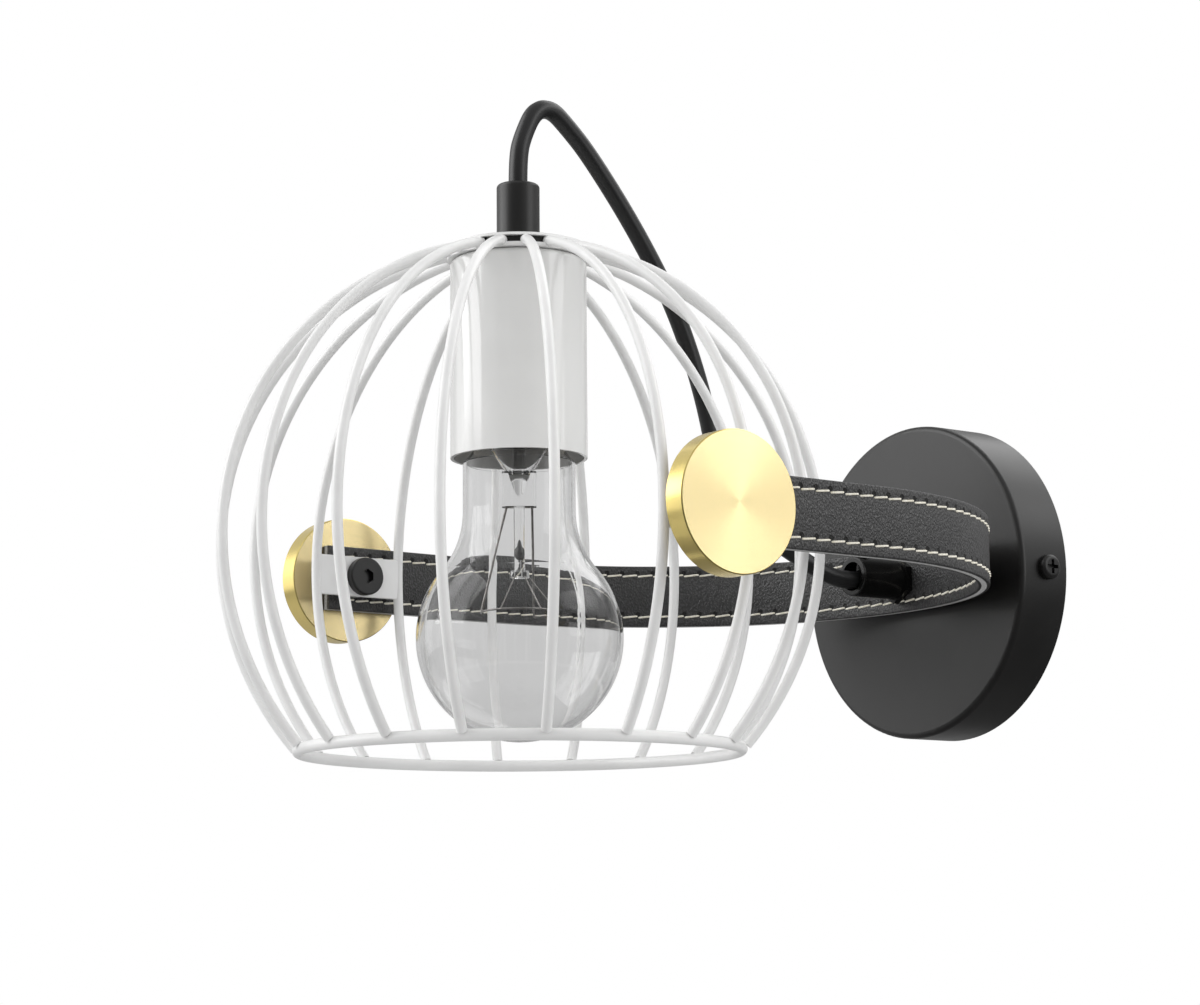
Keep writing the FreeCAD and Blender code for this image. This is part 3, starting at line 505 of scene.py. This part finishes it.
# %% Black powder coat
black = finish("black_metal", Specular_IOR_Level=0.5)
cloud = black.patches((0.006, 0.0059, 0.0057), (0.01, 0.0097, 0.0094), scale=40)
black.roughen(cloud, least=0.33, more=0.06)
black.grit(scale=3500, depth=0.01 * MM)

# %% Black lacquer of the cord grip and nut on the strap
lacquer = Finish("black_lacquer", Specular_IOR_Level=0.4)
cloud = lacquer.patches((0.003, 0.003, 0.0029), (0.006, 0.006, 0.0058), scale=60)
lacquer.roughen(cloud, least=0.2, more=0.06)
lacquer.grit(scale=2500, depth=0.008 * MM)

# %% [markdown]
# ## Brass knobs
# The knobs are turned on a lathe. The tool leaves fine rings round the axis, and each ring tips the surface
# a little towards the middle or away from it, so the highlight is drawn out into a fan. Rings that fine are
# smaller than a pixel and a Bump node can't see them, so the surface's normal is tipped directly, along the
# line from the axis, by a saw-tooth of the distance from it. Small marks are a plain bump, and so are the
# coarser rings on the inner faces. The rim is painted a deeper gold than the faces, as a painted reflection:
# it is the same brass, and the deeper tone stands for what the rim mirrors.

# %% Turned brass
RING_PITCH = 0.09 * MM
RING_TILT = 0.5
MARK_SCALE = 2600
MARK_DEPTH = 0.003 * MM
COARSE_SCALE = 750
COARSE_GAIN = 12
INNER_FACE_X = 94.0 * MM
KNOB_RIM_R = 19.4 * MM
RIM_FADE = 0.4 * MM
FACE_GOLD = (0.77, 0.635, 0.33)
MARK_GOLD = (0.82, 0.68, 0.38)
# Painted reflection: the same brass drawn a deeper gold on the rim.
RIM_REFLECTION_GOLD = (0.9, 0.72, 0.26)


def turned_metal(made):
    """Tip the normals of a finish by fine rings. Returns its marks, and a mask that is 1 on the rim."""
    place = made.place()
    centre = (0, -PIVOT_REACH, 0)
    arm = made.vector("MULTIPLY", made.vector("SUBTRACT", place, centre), (0, 1, 1))
    distance = made.vector("LENGTH", arm, out="Value")
    outward = made.vector("NORMALIZE", arm)
    world_outward = made.node("VectorTransform", {"convert_from": "OBJECT", "convert_to": "WORLD"},
                              {"Vector": outward})
    tooth = (distance / RING_PITCH).maths("FRACT") - 0.5
    rings = made.node("CombineXYZ", None, {"X": distance})
    marks = made.noise(MARK_SCALE, 3, rings)
    aside = place.part("X").maths("ABSOLUTE")
    inner_face = 1 - aside.between(INNER_FACE_X + 0.1 * MM, INNER_FACE_X + 0.3 * MM)
    relief = marks + made.noise(COARSE_SCALE, 4, rings) * inner_face * COARSE_GAIN
    bumped = made.node("Bump", None, {"Height": relief, "Distance": MARK_DEPTH})
    tilt = made.scaled(world_outward, tooth * RING_TILT)
    made.set("Normal", made.vector("NORMALIZE", made.vector("ADD", bumped, tilt)))
    return marks, distance.between(KNOB_RIM_R - RIM_FADE, KNOB_RIM_R)


brass = finish("knob_brass", Metallic=1.0)
marks, rim_reflection_mask = turned_metal(brass)
face_gold = brass.mix(marks.between(0.3, 0.7), FACE_GOLD, MARK_GOLD)
# The rim gets the painted reflection tone.
brass.set("Base Color", brass.mix(rim_reflection_mask, face_gold, RIM_REFLECTION_GOLD))
brass.roughen(marks, least=0.2, more=0.08)

# %% [markdown]
# ## Strap leather
# Fine pebble grain is a Voronoi pattern warped by noise. The leather is charcoal and a little lighter on the
# crowns of the grain, which the strap's bending has drawn out upright. Needle holes sit above the stitch
# ends, painted near black as painted shade inside them. They follow the strap, so they are placed on a UV map
# that counts the distance along and across it.

# %% Measures of the strap
BAND_SPAN = 188.0 * MM
BAND_WIDTH = 20.0 * MM
BAND_T = 3.6 * MM
LEATHER_T = 1.0 * MM
BAND_APEX_Y = -21.0 * MM
ARM_PAST_PIVOT = 9.0 * MM
STITCH_PITCH = 5.3 * MM
STITCH_INSET = 3.2 * MM
STITCH_ROW_Z = BAND_WIDTH / 2 - STITCH_INSET
HOLE_R = 0.9 * MM
HOLE_RISE = 0.75 * MM
print("stitch rows lie", round(STITCH_ROW_Z / MM, 1), "mm from the strap's middle")

# %% Leather
PEBBLE_SCALE = 2100
PEBBLE_SOFTNESS = 0.2
UPRIGHT = (1, 1, 0.6)
SWING_SCALE = 1500
SWING = 0.6 * MM
UNEVEN_SCALE = 900
UNEVEN_SHARE = 0.25
CROWN_TONE = (0.045, 0.0445, 0.0452)
CREASE_TONE = (0.014, 0.0138, 0.0142)
# Painted shade inside the needle holes.
HOLE_SHADE_TONE = grey(0.0015)
HOLE_DEPTH_SHARE = 2
GRAIN_DEPTH = 0.22 * MM

leather = finish("strap_leather", Specular_IOR_Level=0.85)
place = leather.place()
uneven = leather.noise(UNEVEN_SCALE, 2, place)
upright = leather.vector("MULTIPLY", place, UPRIGHT)
swing = leather.scaled(leather.noise(SWING_SCALE, 2, upright, out="Color"), SWING)
pebbles = leather.node("TexVoronoi", {"feature": "SMOOTH_F1"}, {
    "Vector": leather.vector("ADD", upright, swing), "Scale": PEBBLE_SCALE, "Smoothness": PEBBLE_SOFTNESS})
grain = pebbles + uneven * UNEVEN_SHARE
along = leather.node("UVMap", {"uv_map": "strap"})
row = (along.part("Y") - HOLE_RISE).maths("ABSOLUTE") - STITCH_ROW_Z
step = ((along.part("X") / STITCH_PITCH).maths("FRACT") - 0.5) * STITCH_PITCH
hole = 1 - ((step * step + row * row).maths("SQRT") / HOLE_R).between(0.8, 1.0)
tone = leather.mix(grain.between(0.2, 0.7), CROWN_TONE, CREASE_TONE)
# The needle holes are painted near black, as painted shade.
leather.set("Base Color", leather.mix(hole, tone, HOLE_SHADE_TONE))
leather.set("Roughness", grain.between(0.2, 0.8) * 0.2 + hole * 0.4 + 0.3)
leather.bump(grain * -1 - hole * HOLE_DEPTH_SHARE, GRAIN_DEPTH)

# %% Core between the leathers
core = finish("strap_core", Roughness=0.85)
fibre = core.patches(grey(0.3), (0.46, 0.46, 0.45), scale=1800, detail=4)
core.bump(fibre, 0.08 * MM)

# %% [markdown]
# ## Rubber, glass and small parts
# The cord is smooth black rubber. The bulb's glass has to let light through without a dark shadow, so lamp
# rays pass a plain Transparent shader instead. The small parts inside have simple finishes of their own,
# each with a little unevenness.

# %% Rubber and plastic
jacket = finish("cord_jacket", Base_Color=(0.01, 0.01, 0.0104), Roughness=0.36)
jacket.grit(scale=500, depth=0.003 * MM)

holder = finish("holder_plastic", Roughness=0.4)
holder.patches((0.66, 0.62, 0.54), (0.72, 0.69, 0.62), scale=150)
holder.grit(scale=1500, depth=0.02 * MM)

block_white = finish("block_plastic", Base_Color=(0.78, 0.78, 0.74), Roughness=0.4)
block_white.grit(scale=800, depth=0.02 * MM)

GLOSSY_COLOURS = {
    "live_insulation": (0.16, 0.05, 0.02),
    "neutral_insulation": (0.02, 0.1, 0.45),
    "earth_insulation": (0.1, 0.35, 0.05),
    "insulator_black": (0.015, 0.015, 0.016),
}
for slot_name, colour in GLOSSY_COLOURS.items():
    finish(slot_name, Base_Color=colour, Roughness=0.3).grit(scale=600, depth=0.02 * MM)


# %% Bare metal
def metal(slot, light, dark, roughness, scale):
    """Bare metal with slow patches and fine scratches."""
    made = finish(slot, Metallic=1.0)
    cloud = made.patches(dark, light, scale=scale, detail=4)
    made.roughen(cloud, least=roughness, more=0.12)
    made.grit(scale=2500, depth=0.01 * MM)


metal("zinc_steel", (0.66, 0.66, 0.68), (0.55, 0.55, 0.57), roughness=0.28, scale=90)
metal("brass_fittings", (0.78, 0.58, 0.27), (0.66, 0.47, 0.2), roughness=0.3, scale=120)
metal("bulb_wires", (0.32, 0.31, 0.3), (0.2, 0.19, 0.18), roughness=0.35, scale=400)
metal("cap_aluminium", (0.82, 0.82, 0.83), (0.7, 0.7, 0.71), roughness=0.25, scale=150)
metal("contact_metal", (0.62, 0.62, 0.6), (0.45, 0.45, 0.43), roughness=0.35, scale=300)

# %% Clear glass
glass = finish("bulb_clear_glass", Roughness=0.0, IOR=1.3, Transmission_Weight=1.0)
glass.patches(grey(0.96), grey(0.99), scale=25, detail=2)
shadow_ray = glass.node("LightPath", out="Is Shadow Ray")
glass.show(shadow_ray, glass.node("BsdfTransparent", None, {"Color": grey(0.93)}))

# %% Dress the CAD nodes
for part in frame["record"]["subparts"]:
    dress(frame["nodes"][part["node"]], FINISHES[part["material_slot"]])
dress(frame["nodes"]["socket_sleeve"], enamel.material)
for name in ("band_gland", "band_gland_screw", "band_nut"):
    dress(frame["nodes"][name], lacquer.material)
dress(lamp_flex, jacket.material)

# %% [markdown]
# ## The leather strap
# The strap is two leather strips glued to a grey core. A strip starts as a bar for one straight arm. Its end
# face is spun half round the back of the light and then drawn out along the other arm, as the real strip is
# bent. Cuts along the strip mark the stitch rows, which are pressed in, and the long edges are rounded.

# %% Leather strips
ARC_Y = BAND_APEX_Y - BAND_SPAN / 2
ARM_END_Y = -PIVOT_REACH - ARM_PAST_PIVOT
ARM_LENGTH = ARC_Y - ARM_END_Y
ARC_STEPS = 96
GROOVE_HALF = 0.9 * MM
GROOVE_DEPTH = 0.16 * MM
EDGE_ROUND = 0.35 * MM
NEAR = 0.02 * MM


def strap_radius(point):
    """Distance of a point from the middle plane along the arms, and from the arc's centre round the arc."""
    if point.y < ARC_Y:
        return abs(point.x)
    return math.hypot(point.x, point.y - ARC_Y)


def strap_run(point, radius):
    """How far along the strap a point lies, counted from the middle of the arc at the given radius."""
    side = 1 if point.x > 0 else -1
    if point.y < ARC_Y:
        return side * (radius * math.pi / 2 + ARC_Y - point.y)
    return radius * (math.pi / 2 - math.atan2(point.y - ARC_Y, point.x))


def map_strap(mesh):
    """UV map of a leather layer, with the run along the strap as U and the height as V."""
    layer = mesh.uv_layers.new(name="strap")
    for loop in mesh.loops:
        co = mesh.vertices[loop.vertex_index].co
        layer.data[loop.index].uv = (strap_run(co, BAND_SPAN / 2), co.z)


def leather_strip(name, outer_r, face_r):
    """One leather layer. face_r is the radius of the face that shows."""
    bpy.ops.object.select_all(action="DESELECT")
    middle = (outer_r - LEATHER_T / 2, ARC_Y - ARM_LENGTH / 2, 0)
    bpy.ops.mesh.primitive_cube_add(size=1, location=middle, scale=(LEATHER_T, ARM_LENGTH, BAND_WIDTH))
    strip = named(name)
    edit(strip, "polygons", lambda face: face.normal.y > FACING)
    bpy.ops.mesh.spin(steps=ARC_STEPS, angle=-math.pi, center=(0, ARC_Y, 0), axis=(0, 0, 1))
    bpy.ops.mesh.extrude_region_move(TRANSFORM_OT_translate={"value": (0, -ARM_LENGTH, 0)})
    for side in (-1, 1):
        for offset in (-GROOVE_HALF, 0, GROOVE_HALF):
            bpy.ops.mesh.select_all(action="SELECT")
            cut = (0, 0, side * (STITCH_ROW_Z + offset))
            bpy.ops.mesh.bisect(plane_co=cut, plane_no=(0, 0, 1))

    def at_height(vertex, z):
        """True for a point of the face that shows, at a height above or below the strap's middle."""
        on_face = abs(strap_radius(vertex.co) - face_r) < NEAR
        return on_face and abs(abs(vertex.co.z) - z) < NEAR

    edit(strip, "vertices", lambda vertex: at_height(vertex, STITCH_ROW_Z))
    bpy.ops.transform.shrink_fatten(value=-GROOVE_DEPTH)
    leave_edit()
    mesh = strip.data
    edit(strip, "edges", lambda edge: all(at_height(mesh.vertices[i], BAND_WIDTH / 2) for i in edge.vertices))
    bpy.ops.mesh.bevel(offset=EDGE_ROUND, segments=3, affect="EDGES")
    leave_edit()
    map_strap(mesh)
    smooth(strip, 40)
    dress(strip, leather.material)
    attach(strip, "mount")
    print(name, len(mesh.polygons), "faces")
    return strip


outer_r = BAND_SPAN / 2
inner_r = outer_r - BAND_T
outer_strip = leather_strip("outer_leather", outer_r, outer_r)
inner_strip = leather_strip("inner_leather", inner_r + LEATHER_T, inner_r)
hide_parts("band_outer_leather")
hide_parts("band_inner_leather")

# %% [markdown]
# ## Stitches
# Cream thread runs in two rows along both faces. One stitch is modelled: a short thread whose ends are drawn
# out and down into the leather. It is then copied to every place along the strap, and the copies on each
# face are joined, because hundreds of loose stitches would be hard to handle.

# %% Thread finish
thread = Finish("cream_thread", Roughness=0.75)
thread.patches((0.72, 0.68, 0.56), (0.88, 0.85, 0.76), scale=900)
thread.grit(scale=2600, depth=0.08 * MM)

# %% One stitch
THREAD_R = 0.31 * MM
STITCH_FLAT = 3.3 * MM
STITCH_END = 0.6 * MM
STITCH_TIP = 0.3 * MM
STITCH_SIDES = 8


def one_stitch():
    """Thread along X that dives into the leather at both ends, with the leather's face at Z = 0."""
    bpy.ops.object.select_all(action="DESELECT")
    bpy.ops.mesh.primitive_cylinder_add(vertices=STITCH_SIDES, radius=THREAD_R, depth=STITCH_FLAT,
                                        location=(0, 0, THREAD_R / 2), rotation=(0, math.pi / 2, 0))
    stitch = named("stitch")
    for side in (-1, 1):
        edit(stitch, "polygons", lambda face: face.normal.x * side > FACING)
        for reach, drop in ((STITCH_END, THREAD_R / 2), (STITCH_TIP, THREAD_R)):
            move = (side * reach, 0, -drop)
            bpy.ops.mesh.extrude_region_move(TRANSFORM_OT_translate={"value": move})
        leave_edit()
    smooth(stitch, 60)
    return stitch


pattern = one_stitch()
print("one stitch has", len(pattern.data.polygons), "faces")

# %% Rows of stitches
STITCH_SLANT = math.radians(6)
END_MARGIN = 2.5 * MM
QUARTER = math.pi / 2


def stitch_runs():
    """Run of each stitch's middle along the strap, the same on both sides of the arc's middle."""
    half = outer_r * QUARTER + ARM_LENGTH - END_MARGIN
    count = int(half / STITCH_PITCH)
    return [STITCH_PITCH * index for index in range(-count, count + 1)]


def on_strap(run, face_r, outward, z):
    """Matrix that lays a stitch on the strap's face, rising to the right, with its Z out of the face."""
    turn = run / outer_r
    if abs(turn) <= QUARTER:
        out = Vector((math.sin(turn), math.cos(turn), 0))
        spot = Vector((0, ARC_Y, 0)) + out * face_r
    else:
        side = 1 if run > 0 else -1
        out = Vector((side, 0, 0))
        spot = Vector((side * face_r, ARC_Y - (abs(run) - outer_r * QUARTER), 0))
    out = out * outward
    spot.z = z
    upward = Vector((0, 0, 1))
    turned = Matrix((upward.cross(out), upward, out)).transposed().to_4x4()
    return Matrix.Translation(spot) @ turned @ Matrix.Rotation(STITCH_SLANT, 4, "Z")


def stitched(name, face_r, outward):
    """All stitches on one face of the strap. outward is 1 on its outer face and -1 on its inner one."""
    copies = []
    for z in (-STITCH_ROW_Z, STITCH_ROW_Z):
        for run in stitch_runs():
            mesh = pattern.data.copy()
            mesh.transform(on_strap(run, face_r, outward, z))
            copy = bpy.data.objects.new(name, mesh)
            bpy.context.scene.collection.objects.link(copy)
            copies.append(copy)
    count = len(copies)
    row = joined(copies, name)
    dress(row, thread.material)
    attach(row, "mount")
    print(name, count, "stitches")


stitched("outer_stitches", outer_r - GROOVE_DEPTH, 1)
stitched("inner_stitches", inner_r + GROOVE_DEPTH, -1)
bpy.data.objects.remove(pattern)

# %% [markdown]
# ## The bubble in the bulb's rod
# A small drop-shaped bubble is left in the glass rod that holds the filament's supports. Against the light it
# looks dark, and that darkness is painted on as a near-black colour, as painted shade. A ball is the start.
# Its upper half is drawn out far and narrowed to a tip, and its
# lower half is drawn out a little.

# %% Bubble
BUBBLE_R = 1.25 * MM
BUBBLE_Z = -2.6 * MM
BUBBLE_UP = 3.2
BUBBLE_DOWN = 1.7
BUBBLE_TIP_SHARE = 0.5

bubble_centre = (0, -PIVOT_REACH, BUBBLE_Z)
bpy.ops.object.select_all(action="DESELECT")
bpy.ops.mesh.primitive_uv_sphere_add(segments=20, ring_count=12, radius=BUBBLE_R, location=bubble_centre)
bubble = named("rod_bubble")
for side, stretch in ((1, BUBBLE_UP), (-1, BUBBLE_DOWN)):
    edit(bubble, "vertices", lambda vertex: (vertex.co.z - BUBBLE_Z) * side > NEAR)
    bpy.ops.transform.resize(value=(1, 1, stretch), center_override=bubble_centre)
    leave_edit()
tip_from = BUBBLE_R * BUBBLE_UP * BUBBLE_TIP_SHARE
edit(bubble, "vertices", lambda vertex: vertex.co.z - BUBBLE_Z > tip_from)
bpy.ops.transform.resize(value=(BUBBLE_TIP_SHARE, BUBBLE_TIP_SHARE, 1), center_override=bubble_centre)
leave_edit()
smooth(bubble, 60)
# Painted shade: the bubble's darkness is drawn as a near-black colour.
painted_dark_glass = Finish("bubble_painted_dark", Roughness=0.15)
painted_dark_glass.patches(grey(0.05), grey(0.09), scale=900, detail=2)
dress(bubble, painted_dark_glass.material)
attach(bubble, "bulb")
print("bubble", [round(v / MM, 1) for v in bubble.dimensions], "mm")

# %% [markdown]
# ## The floor
# The floor is one large face under the light. It is a pale grey, so that it throws little light up from
# below, and the camera sees it nearly white, because most of what it sees there is plain white. Glossy
# surfaces mirror it in a painted colour: darker, as painted shade on the round edges of the knobs, and
# lighter far out on the left, as a painted pool of light.

# %% Floor
FLOOR_Z = -0.42
FLOOR_SIZE = 8.0
FLOOR_WHITE_SHARE = 0.93
# Where the painted pool of light on the left starts and where it is full.
LEFT_LIGHT_FROM = 0.3
LEFT_LIGHT_FULL = 0.8

bpy.ops.object.select_all(action="DESELECT")
bpy.ops.mesh.primitive_plane_add(size=FLOOR_SIZE, location=(0, 0, FLOOR_Z))
floor = named("floor")
pale = Finish("pale_floor", Roughness=0.9)
tone = pale.mix(pale.noise(3, 3).between(0.3, 0.7), grey(0.58), grey(0.62))
painted_left_light = (pale.place().part("X") * -1).between(LEFT_LIGHT_FROM, LEFT_LIGHT_FULL)
# Painted reflection: the colour that glossy rays see, with painted shade and a painted pool of light.
painted_mirror_tone = pale.mix(painted_left_light, grey(0.11), grey(0.42))
mirrored = pale.node("LightPath", out="Is Glossy Ray")
pale.set("Base Color", pale.mix(mirrored, tone, painted_mirror_tone))
whiteness = pale.node("LightPath", out="Is Camera Ray") * FLOOR_WHITE_SHARE
pale.show(whiteness, pale.node("Emission", None, {"Color": grey(1)}))
dress(floor, pale.material)
print("floor lies", -FLOOR_Z, "m under the middle of the canopy")
